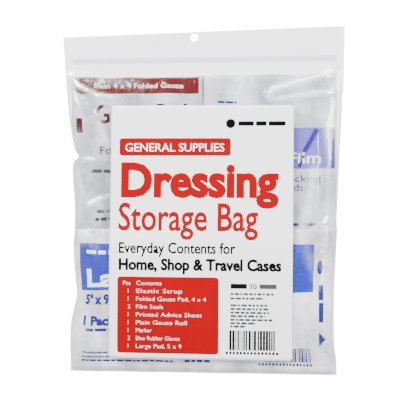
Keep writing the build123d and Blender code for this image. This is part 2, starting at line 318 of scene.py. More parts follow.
def along(points, at):
    # a smooth curve through (place, value) points, level past both ends
    if (at - points[0][0]) * (points[-1][0] - points[0][0]) <= 0:
        return points[0][1]
    if (at - points[-1][0]) * (points[0][0] - points[-1][0]) <= 0:
        return points[-1][1]
    way = points[-1][0] - points[0][0]
    n = next(i for i in range(len(points) - 1) if (points[i + 1][0] - at) * way >= 0)
    (a, low), (b, high) = points[n], points[n + 1]

    def slope(i):
        (p, u), (q, v) = points[max(i - 1, 0)], points[min(i + 1, len(points) - 1)]
        return (v - u) / (q - p)
    w, span = (at - a) / (b - a), b - a
    return ((2 * w ** 3 - 3 * w ** 2 + 1) * low + (w ** 3 - 2 * w ** 2 + w) * span * slope(n)
            + (3 * w ** 2 - 2 * w ** 3) * high + (w ** 3 - w ** 2) * span * slope(n + 1))


def ease(value):
    value = min(max(value, 0.0), 1.0)
    return value * value * (3 - 2 * value)


def wander(x, z, size, seed):
    return noise.noise(Vector((x / size, z / size, seed)))


def metres(x, y, z):
    return Vector(((x + middleX) * mm, y * mm, z * mm))


def finishMesh(bm, name, material, smooth=True):
    mesh = bpy.data.meshes.new(name)
    bm.to_mesh(mesh)
    bm.free()
    for face in mesh.polygons:
        face.use_smooth = smooth
    mesh.materials.append(material)
    piece = bpy.data.objects.new(name, mesh)
    bpy.context.scene.collection.objects.link(piece)
    return piece


def settle(piece, slotName, *stoodFor, body="root"):
    # hands a finished piece over: hides the nodes that it stands for and hangs it on the body that it rides
    # on; slotName is not used
    if stoodFor:
        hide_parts(*stoodFor)
    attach(piece, body)


def applied(piece):
    # the piece with its modifiers made part of its mesh
    view = bpy.context.evaluated_depsgraph_get()
    mesh = bpy.data.meshes.new_from_object(piece.evaluated_get(view))
    piece.modifiers.clear()
    piece.data = mesh
    return piece


def thicken(piece, thickness, offset=-1.0):
    wall = piece.modifiers.new("wall", "SOLIDIFY")
    wall.thickness, wall.offset, wall.use_even_offset = thickness * mm, offset, False
    return applied(piece)


def sheetGrid(size, step):
    # a flat grid from 0, 0 to size, with its own flat map
    bm = bmesh.new()
    cells = [max(2, round(length / step)) for length in size]
    bmesh.ops.create_grid(bm, x_segments=cells[0], y_segments=cells[1], size=0.5)
    flat = bm.loops.layers.uv.new("UVMap")
    for vert in bm.verts:
        vert.co = Vector(((vert.co.x + 0.5) * size[0], (vert.co.y + 0.5) * size[1], 0))
    for face in bm.faces:
        for loop in face.loops:
            loop[flat].uv = loop.vert.co.xy * mm
    return bm


def gridCell(size, step):
    return [length / max(2, round(length / step)) for length in size]


def faceOut(bm, outward):
    # turns an open sheet's faces to the side that they are seen from
    bm.normal_update()
    if sum(face.normal.y * face.calc_area() for face in bm.faces) * outward < 0:
        bmesh.ops.reverse_faces(bm, faces=bm.faces[:])


def stick(bm, name, material, onSurface, lift, thickness=0.05, cells=(5.0, 5.0), outward=-1):
    # lays flat shapes on a surface: cuts them to its grid, lifts them and gives them a thickness
    for axis, cell in enumerate(cells):
        reach = [vert.co[axis] for vert in bm.verts]
        at = math.floor(min(reach) / cell) * cell + cell
        normal = (1, 0, 0) if axis == 0 else (0, 1, 0)
        while at < max(reach):
            place = (at, 0, 0) if axis == 0 else (0, at, 0)
            bmesh.ops.bisect_plane(bm, geom=bm.verts[:] + bm.edges[:] + bm.faces[:], dist=1e-5,
                                   plane_co=place, plane_no=normal)
            at += cell
    for vert in bm.verts:
        vert.co = onSurface(vert.co.x, vert.co.y) + Vector((0, outward * lift * mm, 0))
    grown = bmesh.ops.extrude_face_region(bm, geom=bm.faces[:])["geom"]
    bmesh.ops.translate(bm, vec=(0, outward * thickness * mm, 0),
                        verts=[part for part in grown if isinstance(part, bmesh.types.BMVert)])
    bmesh.ops.recalc_face_normals(bm, faces=bm.faces[:])
    return finishMesh(bm, name, material, smooth=False)


def addBlock(bm, x, y, width, height, corner=0.0):
    # a flat block, its lower left corner at x, y
    made = bmesh.ops.create_grid(bm, x_segments=1, y_segments=1, size=0.5)["verts"]
    bmesh.ops.scale(bm, vec=(width, height, 1), verts=made)
    bmesh.ops.translate(bm, vec=(x + width / 2, y + height / 2, 0), verts=made)
    if corner:
        bmesh.ops.bevel(bm, geom=made, offset=corner, segments=5, affect="VERTICES", profile=0.5, material=-1)


def addDisc(bm, x, y, radius, segments, stretch=(1, 1), turn=0):
    # a flat disc, or with few segments a triangle or the like
    made = bmesh.ops.create_circle(bm, cap_ends=True, segments=segments, radius=radius)["verts"]
    bmesh.ops.rotate(bm, cent=(0, 0, 0), matrix=Matrix.Rotation(math.radians(turn), 3, "Z"), verts=made)
    bmesh.ops.scale(bm, vec=(*stretch, 1), verts=made)
    bmesh.ops.translate(bm, vec=(x, y, 0), verts=made)


def addWords(bm, words, x, y, height, width=None, heavy=0.0):
    # letters with their baseline at y, a capital's height and, where given, a set width
    curve = bpy.data.curves.new("words", "FONT")
    curve.body, curve.size, curve.offset, curve.resolution_u = words, 1.0, heavy, 3
    piece = bpy.data.objects.new("words", curve)
    bpy.context.scene.collection.objects.link(piece)
    view = bpy.context.evaluated_depsgraph_get()
    mesh = bpy.data.meshes.new_from_object(piece.evaluated_get(view))
    bpy.data.objects.remove(piece)
    before = set(bm.verts)
    bm.from_mesh(mesh)
    bpy.data.meshes.remove(mesh)
    made = [vert for vert in bm.verts if vert not in before]
    bmesh.ops.dissolve_limit(bm, angle_limit=0.02, verts=made,
                             edges=[edge for edge in bm.edges if edge.verts[0] not in before])
    made = [vert for vert in bm.verts if vert not in before]
    low = min(vert.co.x for vert in made)
    high = max(vert.co.x for vert in made)
    tall = height / 0.729    # a capital's share of the letters' size
    wide = width / (high - low) if width else tall
    bmesh.ops.translate(bm, vec=(-low, 0, 0), verts=made)
    bmesh.ops.scale(bm, vec=(wide, tall, 1), verts=made)
    bmesh.ops.translate(bm, vec=(x, y, 0), verts=made)


anyWord = (3.0, 9.0)         # shortest and longest word in small print 2.2 high


def addLines(bm, x, y, height, width, draw, count=1, gap=4.0, ragged=0.0, word=anyWord):
    # lines of word-long blocks that stand for small print, from the top line down
    for line in range(count):
        at, end = x, x + width * (1 - ragged * draw.random())
        while at < end:
            length = min(draw.uniform(*word) * height / 2.2, end - at)
            addBlock(bm, at, y - line * gap, max(length, 0.3), height)
            at += length + 0.55 * height


def addTurned(bm, x, y, lean, maker):
    # what the maker draws round 0, 0, leant over and moved to x, y
    part = bmesh.new()
    maker(part)
    turned = Matrix.Rotation(math.radians(lean), 3, "Z")
    bmesh.ops.rotate(part, cent=(0, 0, 0), matrix=turned, verts=part.verts[:])
    bmesh.ops.translate(part, vec=(x, y, 0), verts=part.verts[:])
    mesh = bpy.data.meshes.new("turned")
    part.to_mesh(mesh)
    part.free()
    bm.from_mesh(mesh)
    bpy.data.meshes.remove(mesh)


def addBars(bm, x, y, width, height, draw):
    # upright bars of mixed widths
    at, unit = x, width / 62
    while at < x + width - unit:
        bar = unit * draw.choice((1, 2, 2, 3))
        addBlock(bm, at, y, min(bar, x + width - at), height)
        at += bar + unit * draw.choice((1, 1, 1, 2))


# bag film
bag = {
    "leftInset": [(6, -1.6), (-42, 1.6), (-62, 3.3), (-82, 5.1), (-102, 8.3), (-113, 11.0), (-119, 14.6),
                  (-124, 9.2), (-143, 8.6), (-163, 10.3), (-190, 10.4), (-205, 9.4), (-227, 9.8),
                  (-249, 12.0), (-260, 12.4), (-272, 9.4), (-290, 6.2), (-333, 6.0)],
    "rightInset": [(11, -0.8), (-26, 0.0), (-52, 0.7), (-61, 1.9), (-72, 2.0), (-110, 4.0), (-151, 5.8),
                   (-187, 7.2), (-192, 6.6), (-220, 8.0), (-249, 9.5), (-278, 9.9), (-307, 9.4),
                   (-318, 7.8), (-335, 7.0)],
    "frontDepth": [(-29.0, 1.2), (-34, 2.4), (-41, 7.0), (-52, 10.2), (-75, 12.2), (-120, 13.4), (-165, 15.2),
                   (-190, 17.6), (-206, 20.0), (-316, 20.2), (-327, 17.5), (-332.5, 11.0), (-335.5, 0.3)],
    "backDepth": [(-29.0, 1.2), (-34, 3.0), (-42, 10.0), (-54, 21.0), (-70, 33.0), (-84, 36.2),
                  (-222, 36.2), (-258, 30.0), (-300, 26.0), (-320, 23.0), (-329, 17.0), (-333.5, 9.0),
                  (-335.5, 0.3)],
    "topRise": 3.6,          # how far the top edge climbs from the middle to the right side
    "step": 2.3,             # grid spacing
    "wall": 0.16,
    "weld": 0.986,           # share of the half width where the side weld starts
    "foldRun": 12,           # how far below the mouth the film takes its full shape
    "frontSides": (13, 0.46), "backSides": (9, 0.5),  # how square and how full the sides are
    "pressed": 0.93,         # how much of the film's relief the label presses flat
    "tent": [(0, 1.0), (50, 0.99), (72, 0.90), (104, 0.62), (124, 0.42)],  # the back's depth across it
}
folds = [  # film folds: height, half width, whiteness of a painted highlight along the fold, and path
    (5.0, 4.2, 1.2, [(143, -27), (114, -42), (90, -50), (71, -54.5), (65, -60)]),
    (3.6, 3.4, 1.2, [(65, -60), (70, -63.5), (85, -62), (103, -60), (121, -58), (140, -56)]),
    (1.6, 3.0, 0.5, [(70, -66), (82, -76), (94, -84)]),
    (2.4, 3.0, 0.9, [(-139, -33), (-124, -48), (-104, -58), (-82, -61)]),
    (1.8, 2.6, 0.7, [(-106, -58), (-97, -66), (-91, -76)]),
    (1.4, 3.0, 0.5, [(-138, -36), (-130, -56), (-121, -74)]),
    (1.5, 3.0, 0.5, [(-106, -72), (-101, -90), (-92, -108)]),
    (-1.4, 1.8, 0.3, [(-131, -118.5), (-115, -119), (-92, -122)]),
    (1.4, 3.0, 0.4, [(-129, -124), (-120, -150), (-125, -186)]),
    (1.4, 2.4, 0.7, [(-116, -170), (-104, -163), (-91, -157)]),
    (1.0, 4.0, 0.3, [(132, -64), (122, -92), (127, -128)]),
    (1.4, 4.5, 0.5, [(112, -128), (107, -160), (98, -196)]),
    (1.2, 3.0, 0.5, [(132, -176), (114, -187), (96, -204)]),
    (1.0, 3.0, 0.3, [(-130, -238), (-124, -256), (-129, -280)]),
    (1.0, 4.0, 0.1, [(124, -236), (114, -250), (110, -276)]),
]
paintedSheens = [  # painted highlights, soft pale patches on the film: middle, reach across and along, lean in degrees, whiteness
    (-134, -42, 5, 14, 20, 0.40), (-124, -64, 10, 5, -24, 0.32), (-102, -92, 5, 20, 25, 0.36),
    (-124, -104, 7, 10, 0, 0.25), (-104, -166, 16, 4, -28, 0.34), (-118, -200, 14, 6, 8, 0.40),
    (-129, -150, 3, 26, 0, 0.22), (84, -74, 14, 9, -30, 0.36), (106, -164, 6, 30, -8, 0.34),
    (127, -86, 4, 24, 0, 0.30), (116, -190, 18, 5, 30, 0.40), (119, -216, 3, 8, -8, 0.20),
    (-128, -228, 4, 22, 0, 0.30), (107, -220, 4, 14, 14, 0.22), (104, -306, 8, 10, 20, 0.16),
    (-122, -296, 12, 10, 0, 0.16), (20, -36, 70, 3, 1, 0.12), (-90, -44, 24, 4, -6, 0.22),
    (128, -38, 14, 4, 24, 0.40),
]


def foldAt(x, z):
    # height of the nearby folds at a place on the front film, and whiteness: painted highlights along the
    # folds and in pale patches
    rise = white = 0.0
    for height, width, highlightWhiteness, path in folds:
        reach = 3.2 * width
        acrossPath, downPath = zip(*path)
        if not (min(acrossPath) - reach < x < max(acrossPath) + reach
                and min(downPath) - reach < z < max(downPath) + reach):
            continue
        best = None
        for n in range(len(path) - 1):
            start, end = Vector(path[n]), Vector(path[n + 1])
            run = end - start
            share = min(max((Vector((x, z)) - start).dot(run) / run.length_squared, 0), 1)
            away = (Vector((x, z)) - start - run * share).length
            if best is None or away < best[0]:
                best = (away, (n + share) / (len(path) - 1))
        fade = ease(min(best[1], 1 - best[1]) * 5 + 0.25)
        rise += height * fade * math.exp(-(best[0] / width) ** 2)
        # the whiteness along a fold is a painted highlight
        white += highlightWhiteness * fade * math.exp(-(best[0] / (0.62 * width)) ** 2)
    for midX, midZ, across, tall, lean, strength in paintedSheens:
        a, b = x - midX, z - midZ
        if abs(a) < 2 * (across + tall) and abs(b) < 2 * (across + tall):
            turn = math.radians(lean)
            a, b = a * math.cos(turn) + b * math.sin(turn), b * math.cos(turn) - a * math.sin(turn)
            cloud = 0.7 + 0.6 * wander(x, z, 7, 60.0)
            # a pale patch of painted highlight
            white += strength * math.exp(-(a / across) ** 2 - (b / tall) ** 2) * cloud
    return rise, white


labelLow, labelHigh = nodeBox("kit_label")


def underLabel(x, z, edge=9.0):
    # 1 under the stiff label, 0 away from it
    return (ease((x - labelLow.x + edge) / edge) * ease((labelHigh.x + edge - x) / edge)
            * ease((z - labelLow.z + edge) / edge) * ease((labelHigh.z + edge - z) / edge))


def bagEdge(side, z):
    # how far the bag reaches from its middle line
    return halfLip - along(bag["leftInset" if side < 0 else "rightInset"], z)


def frontFilm(x, z):
    # the front film's outer face: distance in front of the bag's middle plane
    side = 1 if x > 0 else -1
    half = bagEdge(side, z)
    u = min(abs(x) / (half * bag["weld"]), 1.0)
    depth = along(bag["frontDepth"], z)
    square, bulge = bag["frontSides"]
    crown = (1 - u ** square) ** bulge
    free = 1 - bag["pressed"] * underLabel(x, z)
    body = ease((foldZ - z) / bag["foldRun"])
    wave = (0.9 * wander(x, z, 34, 3.1) + 0.5 * wander(x * 1.5, z, 15, 8.4)) * body * free
    lip = 0.25 * abs(wander(x, z, 55, 1.7)) * (1 - body)
    rise = foldAt(x, z)[0] * (0.25 + 0.75 * body)
    relief = (wave + lip + rise * free) * ease((1 - u) * 9) * (u < 1)
    return bag["wall"] + (depth - bag["wall"]) * crown + relief


def backFilm(x, z):
    # the back film's outer face: distance behind the bag's middle plane
    side = 1 if x > 0 else -1
    half = bagEdge(side, z)
    u = min(abs(x) / (half * bag["weld"]), 1.0)
    depth = along(bag["backDepth"], z)
    body = ease((foldZ - z) / bag["foldRun"])
    tent = 1 + (along(bag["tent"], abs(x)) - 1) * body
    square, bulge = bag["backSides"]
    crown = (1 - u ** square) ** bulge
    wave = (1.1 * wander(x, z, 30, 21.3) + 0.6 * wander(x, z * 1.6, 13, 28.9)) * body
    free = ease((1 - u) * 8) * ease((z - bottomZ) / 12) * (u < 1)
    return bag["wall"] + (depth * tent - bag["wall"]) * crown + wave * free


def makeFilm(name, surface, outward, withPaintedHighlights):
    # one film from the lip to the bottom weld, with the hang hole cut out
    tall = topZ - bottomZ
    bm = sheetGrid((2 * halfLip, tall), bag["step"])
    # the attribute holds haze along the side and bottom welds and, on the front film, painted highlights along
    # the folds and in pale patches
    sealHazeAndHighlight = bm.verts.layers.float.new("sealHazeAndHighlight")
    for vert in bm.verts:
        share = vert.co.y / tall
        run = vert.co.x / halfLip - 1
        top = topZ - 0.9 + bag["topRise"] * run
        z = bottomZ + (top - bottomZ) * share
        x = run * bagEdge(-1 if run < 0 else 1, z)
        vert.co = metres(x, outward * surface(x, z), z)
        edge = ease((abs(run) - bag["weld"]) / 0.01)
        low = ease((bottomZ + 2.2 - z) / 1.0)
        vert[sealHazeAndHighlight] = min(1.0, 0.35 * max(edge, low) + (foldAt(x, z)[1] if withPaintedHighlights else 0.0))
    reach = 3.2 * bag["step"] * mm
    near = [e for e in bm.edges if e.verts[0].co.xz.length < reach and e.verts[1].co.xz.length < reach]
    bmesh.ops.subdivide_edges(bm, edges=near, cuts=3, use_grid_fill=True)
    radius = frame["record"]["mounts"][0]["dims"]["r_mm"] * mm
    hole = [vert for vert in bm.verts if vert.co.xz.length < radius]
    outline = {vert for vert in bm.verts if vert.is_boundary}
    bmesh.ops.delete(bm, geom=hole, context="VERTS")
    for vert in bm.verts:
        if vert.is_boundary and vert not in outline:
            ring = vert.co.xz.normalized() * radius
            vert.co.x, vert.co.z = ring.x, ring.y
    bmesh.ops.triangulate(bm, faces=[f for f in bm.faces if len(f.verts) > 4])
    faceOut(bm, outward)
    return thicken(finishMesh(bm, name, finishes["film"]), bag["wall"])


bagFront = makeFilm("bag_front", frontFilm, -1, True)
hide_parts("front_film", "front_lip")
metres(0, 0, foldZ - 4)
metres(0, 0, foldZ + 3)
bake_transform(bagFront)
bagBack = makeFilm("bag_back", backFilm, 1, False)
settle(bagBack, "clear_film", "back_film", "back_lip")
print("bag film:", len(bagFront.data.polygons), "faces on the front")

# front label
label = {
    "turn": -0.3,            # degrees that it sits askew
    "corner": 3.0,
    "wall": 0.14,
    "step": 3.0,
    "lift": 0.06,            # off the film
    "inkLift": 0.18,         # its print off the label's middle
    "whiteLift": 0.09,       # white print over the red blocks
}
labelWidth, labelHeight = labelHigh.x - labelLow.x, labelHigh.z - labelLow.z
# the label's print; heights are below its top edge
labelInk = {
    "words": [  # layer, words, left end, baseline, capital height, width, weight
        ("redInk", "Dressing", 10.4, -89.6, 33.4, 157, 0.042),
        ("redInk", "Storage Bag", 8.4, -123.6, 28.2, 139, 0.016),
        ("whiteInk", "GENERAL SUPPLIES", 14.4, -45.6, 8.6, 99, 0.008),
        ("blackInk", "Everyday Contents for", 9.6, -146.2, 11.0, 116, 0.022),
        ("blackInk", "Home, Shop & Travel Cases", 9.6, -162.6, 11.2, 161, 0.044),
        ("blackInk", "10", 141.0, -180.3, 5.0, None, 0.03)],
    "blocks": [  # layer, left, bottom, width, height, corner
        ("redInk", 8.6, -49.8, 111.2, 17.4, 2.6), ("redInk", 8.4, -245.2, 100.8, 75.6, 3.0),
        ("blackInk", 127, -20.2, 15.5, 4.4, 1.0), ("blackInk", 144.4, -20.2, 10.5, 4.4, 1.0),
        ("blackInk", 157, -20.2, 16.5, 4.4, 1.0), ("blackInk", 121.0, -180.3, 16.0, 4.8, 0.6),
        ("greyInk", 139.0, -180.8, 0.5, 5.6, 0.0), ("greyInk", 149.4, -180.2, 16.6, 4.4, 0.6)],
    "lines": [  # layer, left, baseline, height, width
        ("greyInk", 121.0, -under, 2.1, run)
        for under, run in ((186.6, 42.5), (190.9, 33), (197.6, 36), (201.2, 37.6), (204.8, 38), (208.2, 34),
                           (211.8, 41), (215.2, 25), (218.4, 15))],
    "word": (2.0, 6.5),      # lengths of the words in the small print
    "bars": ("blackInk", 119.9, -240.6, 45.4, 19.4),
    "digits": ("blackInk", 116.5, -244.6, 2.6, 52, (1.6, 1.9)),
    "disc": (119.5, -18.0, 4.6),
    "rows": [("Pcs", "Contents", 25.3), ("1", "Elastic Strap", 45.8), ("1", "Folded Gauze Pad, 4 x 4", 69.4),
             ("2", "Film Seals", 26.9), ("1", "Printed Advice Sheet", 65.3), ("1", "Plain Gauze Roll", 50.5),
             ("1", "Marker", 15.6), ("2", "Blue Rubber Gloves", 43.6), ("1", "Large Pad, 5 x 9", 45.2)],
    "rowTop": -177.9, "rowGap": 7.78, "rowTall": 4.4, "countAt": 21.4, "countShift": 2.4, "rowAt": 27.4,
}


def onLabel(a, b):
    # a from the label's left edge, b from its lower edge
    turn = math.radians(label["turn"])
    x, z = a - labelWidth / 2, b - labelHeight / 2
    x, z = x * math.cos(turn) - z * math.sin(turn), x * math.sin(turn) + z * math.cos(turn)
    x, z = x + (labelLow.x + labelHigh.x) / 2, z + (labelLow.z + labelHigh.z) / 2
    return metres(x, -frontFilm(x, z) - label["lift"], z)


def inCorner(a, b, size, radius):
    # pulls a place outside a rounded corner back to its arc
    x = min(max(a, radius), size[0] - radius)
    y = min(max(b, radius), size[1] - radius)
    away = Vector((a - x, b - y))
    if x != a and y != b and away.length > 0:
        away *= min(1.0, max(abs(away.x), abs(away.y)) / away.length)
    return x + away.x, y + away.y


def makeLabel():
    bm = sheetGrid((labelWidth, labelHeight), label["step"])
    for vert in bm.verts:
        a, b = inCorner(vert.co.x, vert.co.y, (labelWidth, labelHeight), label["corner"])
        vert.co = onLabel(a, b)
    piece = thicken(finishMesh(bm, "front_label", finishes["label"]), label["wall"], offset=1.0)
    settle(piece, "label_paper", "kit_label")


def fillPrint(layers, printed, draw, base=0.0):
    # draws a sheet's words, blocks, lines of small print and bars, their heights from the base
    for layer, words, x, y, height, width, heavy in printed.get("words", ()):
        addWords(layers[layer], words, x, base + y, height, width, heavy)
    for layer, x, y, width, height, corner in printed.get("blocks", ()):
        addBlock(layers[layer], x, base + y, width, height, corner)
    for layer, x, y, height, width in printed.get("lines", ()):
        addLines(layers[layer], x, base + y, height, width, draw, word=printed.get("word", anyWord))
    if "bars" in printed:
        layer, x, y, width, height = printed["bars"]
        addBars(layers[layer], x, base + y, width, height, draw)
        layer, x, y, height, width, word = printed["digits"]
        addLines(layers[layer], x, base + y, height, width, draw, word=word)


def labelPrint():
    layers = {name: bmesh.new() for name in ("redInk", "blackInk", "whiteInk", "greyInk")}
    fillPrint(layers, labelInk, random.Random(7), labelHeight)
    x, y, radius = labelInk["disc"]
    addDisc(layers["blackInk"], x, labelHeight + y, radius, 32)
    for n, (count, words, run) in enumerate(labelInk["rows"]):
        base = labelHeight + labelInk["rowTop"] - labelInk["rowGap"] * n
        countX = labelInk["countAt"] - labelInk["countShift"] * len(count)
        addWords(layers["whiteInk"], count, countX, base, labelInk["rowTall"], heavy=-0.012)
        addWords(layers["whiteInk"], words, labelInk["rowAt"], base, labelInk["rowTall"], run, heavy=-0.013)
    for name, bm in layers.items():
        lift = label["inkLift"] + (label["whiteLift"] if name == "whiteInk" else 0.0)
        piece = stick(bm, "label_print_" + name[:-3], finishes[name], onLabel, lift,
                      cells=gridCell((labelWidth, labelHeight), label["step"]))
        settle(piece, "label_paper")


makeLabel()
labelPrint()
print("label done")


# flat packs
# grow: how far a pack passes its node on the left, right, below and above
# fields: printed colours (x low, x high, z low, z high, colour) from the pack's lower left corner
packs = {
    "trauma": {
        "nodes": ("trauma_pouch_front", "trauma_pouch_back"), "grow": (4.5, 5.0, 7.0, 1.0), "rim": 9.0,
        "run": 20.0, "crush": 0.75, "bend": 7.0, "edge": 0.7, "wave": 4.0, "base": (0.60, 0.60, 0.62),
        "fields": [(6.8, 245.0, 80.5, 128.0, (0.006, 0.020, 0.33))],
        "layers": ("whiteInk", "blueInk"), "seed": 11, "rise": 3.0,
        "words": [("whiteInk", "Large Pad", 15.2, 81.8, 18.2, 150, 0.034),
                  ("blueInk", '5" x 9"', 13.2, 64.8, 9.0, 33, 0.054),
                  ("blueInk", "1 Pack", 13.6, 44.0, 9.0, 35, 0.058)],
        "blocks": [("whiteInk", 15.5, 114.8, 12, 3.4, 0.7), ("whiteInk", 30.0, 114.8, 8, 3.4, 0.7),
                   ("whiteInk", 40.5, 114.8, 12, 3.4, 0.7)],
        "lines": [("blueInk", 16.6, 37.6, 3.0, 70), ("blueInk", 11.8, 15.6, 1.5, 46),
                  ("blueInk", 11.8, 11.2, 1.5, 98), ("blueInk", 11.8, 7.4, 1.9, 94),
                  ("blueInk", 116.0, 7.6, 2.6, 26)],
        "bars": ("blueInk", 196.0, 9.4, 45.0, 14.0),
        "digits": ("blueInk", 190.0, 5.4, 2.6, 54, (1.4, 1.8)),
    },
    "dressing": {
        "nodes": ("dressing_pouch_front", "dressing_pouch_back"), "grow": (3.0, 2.8, 0.0, 0.5), "rim": 8.0,
        "run": 24.0, "crush": 0.75, "bend": 3.0, "edge": 1.0, "wave": 12.0, "base": (0.42, 0.42, 0.455),
        "fields": [(3.6, 129.2, 158.6, 175.4, (0.090, 0.0, 0.001))],
        "layers": ("whiteInk", "maroonInk", "greyInk"), "seed": 5,
        "words": [("whiteInk", "Plain 4 x 4 Folded Gauze", 24.0, 164.6, 5.6, 90, 0.004),
                  ("maroonInk", "Gauze Pad", 25.0, 129.6, 19.5, 92, 0.020),
                  ("maroonInk", "Folded cloth", 29.6, 98.6, 8.2, 66, 0.016)],
        "blocks": [("maroonInk", 4.4, 121.0, 6.4, 14.4, 1.4)],
        "lines": [("greyInk", 21.0, 79.6, 3.2, 60), ("greyInk", 26.0, 39.6, 3.2, 80),
                  ("greyInk", 24.0, 31.8, 3.2, 80)],
    },
    "roll": {
        "nodes": ("roll_pouch_front", "roll_pouch_back"), "grow": (0, 0, 0, 0), "rim": 6.0, "run": 15.0,
        "crush": 0.6, "bend": 0.0, "edge": 0.8, "wave": 31.0, "base": (0.46, 0.47, 0.50),
    },
}
sealPack = {
    "rim": 8.0, "run": 18.0, "crush": 0.35, "edge": 0.6, "base": (0.50, 0.50, 0.55),
    "fields": [(38.0, 129.4, 83.0, 124.0, (0.15, 0.125, 0.50))],
    "layers": ("whiteInk", "blueInk", "foldInk"), "seed": 17,
    "words": [("whiteInk", "Clear Film", 34.0, 88.6, 11.0, 81.5, 0.02),
              ("blueInk", "Wide packing", 45.0, 70.4, 7.4, 71, 0.0),
              ("blueInk", "for pads", 62.0, 61.4, 7.4, 36, 0.0)],
    "lines": [("blueInk", 13.5, 148.6, 2.0, 19.5), ("blueInk", 40.0, 26.6, 3.0, 76)],
    # shadows: dark strips where the seal pack folds, painted shade laid down like print: middle, width,
    # height, lean
    "shadows": [(105.4, 111.0, 4.4, 26.0, -28), (97.0, 91.5, 3.0, 15.0, -22), (126.4, 103.6, 4.4, 40.0, 0)],
}
packs["chest_a"] = dict(sealPack, nodes=("chest_pouch_a_front", "chest_pouch_a_back"),
                        grow=(-0.5, 3.8, 0.0, 0.5), bend=3.0, wave=19.0)
packs["chest_b"] = dict(sealPack, nodes=("chest_pouch_b_front", "chest_pouch_b_back"),
                        grow=(-1.5, 1.5, 0.0, -1.0), bend=2.0, wave=23.0)
packSheet = {
    "step": 2.6, "wall": 0.14, "inkLift": 0.12,
    "gap": 0.5,              # between a pack and the bag's film
    "rimDepth": 0.3,         # half a sealed rim's depth
    "clear": 1.8,            # between a pack's side and the bag's edge
    "drawnIn": 100.0,        # past this a pack's sides follow the bag's outline
    "bendFrom": 104, "bendRun": 28,  # where a pack's sides bend back with the film
}


def packFace(spec, outward):
    # the outer face of a pack's front or back sheet, and its flat size
    node = spec["nodes"][0 if outward < 0 else 1]
    low, high = nodeBox(node)
    left, right, under, over = spec["grow"]
    plane = high.y if outward < 0 else low.y
    depth = high.y - low.y
    size = (high.x - low.x + left + right, high.z - low.z + under + over)
    drawnIn, gap = packSheet["drawnIn"], packSheet["gap"]

    def face(a, b):
        near = min(a, b, size[0] - a, size[1] - b)
        swell = ease((near - spec["rim"]) / spec["run"]) ** 0.8
        x = low.x - left + a + spec["edge"] * wander(a, b, 26, spec["wave"])
        z = low.z - under + b + 1.6 * spec["edge"] * wander(a, b, 33, spec["wave"] + 3)
        side = -1 if x < 0 else 1
        free = bagEdge(side, z) - packSheet["clear"]
        reach = abs(low.x - left if side < 0 else high.x + right)
        if abs(x) > drawnIn and reach > free:
            x = side * (drawnIn + (abs(x) - drawnIn) * (free - drawnIn) / (reach - drawnIn))
        crush = wander(a, b, 17, spec["wave"] + outward) + 0.5 * wander(a, b * 1.7, 8, spec["wave"] + 7)
        rise = (depth - gap) * swell + packSheet["rimDepth"]
        rise += spec["crush"] * crush * (0.35 + 0.65 * min(near / 8, 1))
        bend = spec["bend"] * ease((abs(x) - packSheet["bendFrom"]) / packSheet["bendRun"])
        y = plane + outward * rise - math.copysign(1, plane) * bend
        y = max(y, gap - frontFilm(x, z))
        return metres(x, min(y, backFilm(x, z) - gap), z)
    return face, size


def makeSheet(name, spec, outward, side):
    # one sheet of a pack
    face, size = packFace(spec, outward)
    bm = sheetGrid(size, packSheet["step"])
    for vert in bm.verts:
        vert.co = face(vert.co.x, vert.co.y)
    faceOut(bm, outward)
    fields = spec.get("fields", ()) if side == "Sheet" else ()
    sheet = finishMesh(bm, f"{name}_pouch_{'front' if outward < 0 else 'back'}",
                       pouchFilm(name + side, spec["base"], fields))
    settle(thicken(sheet, packSheet["wall"]), "pouch_paper" if outward < 0 else "pouch_film",
           spec["nodes"][0 if outward < 0 else 1])
    return face, size


def openingMarks(bm, draw):
    # the opening marks up the lower pack's right side: turned print, an arrowhead and a dot
    addTurned(bm, 255.6, 48.0, 90, lambda part: addLines(part, 0, 0, 5.0, 37, draw))
    addDisc(bm, 253.6, 31.5, 7.6, 3, (0.66, 1.08), -90)
    addDisc(bm, 251.4, 101.5, 7.0, 20, (0.42, 1))


def makePack(name):
    spec = packs[name]
    face, size = makeSheet(name, spec, -1, "Sheet")
    makeSheet(name, spec, 1, "Back")
    layers = {ink: bmesh.new() for ink in spec.get("layers", ())}
    draw = random.Random(spec.get("seed"))
    fillPrint(layers, spec, draw)
    if name == "trauma":
        openingMarks(layers["blueInk"], draw)
    # painted shade strips in the folds, laid on like print
    for x, z, wide, tall, lean in spec.get("shadows", ()):
        addTurned(layers["foldInk"], x, z, lean,
                  lambda part: addBlock(part, -wide / 2, -tall / 2, wide, tall, 1.4))
    for inkName, bm in layers.items():
        bmesh.ops.translate(bm, vec=(0, spec.get("rise", 0.0), 0), verts=bm.verts[:])
        piece = stick(bm, f"{name}_print_{inkName[:-3]}", finishes[inkName], face, packSheet["inkLift"],
                      cells=gridCell(size, packSheet["step"]))
        settle(piece, "pouch_paper")


for name in ("trauma", "dressing", "chest_a", "chest_b", "roll"):
    makePack(name)
print("packs done")


# what lies inside the packs
def slabPiece(name, low, high, share, material, step=4.0, corner=0.0):
    # a closed slab in a box, its half thickness a share of the box's at each place
    size = (high.x - low.x, high.z - low.z)
    bm = sheetGrid(size, step)
    for vert in bm.verts:
        vert.co.x, vert.co.y = inCorner(vert.co.x, vert.co.y, size, corner)
    grown = bmesh.ops.extrude_face_region(bm, geom=bm.faces[:])["geom"]
    front = {part for part in grown if isinstance(part, bmesh.types.BMVert)}
    halfDepth, midY = (high.y - low.y) / 2, (high.y + low.y) / 2
    for vert in bm.verts:
        a, b = vert.co.xy
        reach = halfDepth * share(a, b, size)
        vert.co = metres(low.x + a, midY - reach if vert in front else midY + reach, low.z + b)
    bmesh.ops.recalc_face_normals(bm, faces=bm.faces[:])
    return finishMesh(bm, name, material)


def rimRound(a, b, size, run):
    # the share of a slab's thickness near its rounded rim
    near = min(a, b, size[0] - a, size[1] - b)
    return max(0.05, 1 - (1 - min(near / run, 1.0)) ** 2) ** 0.5


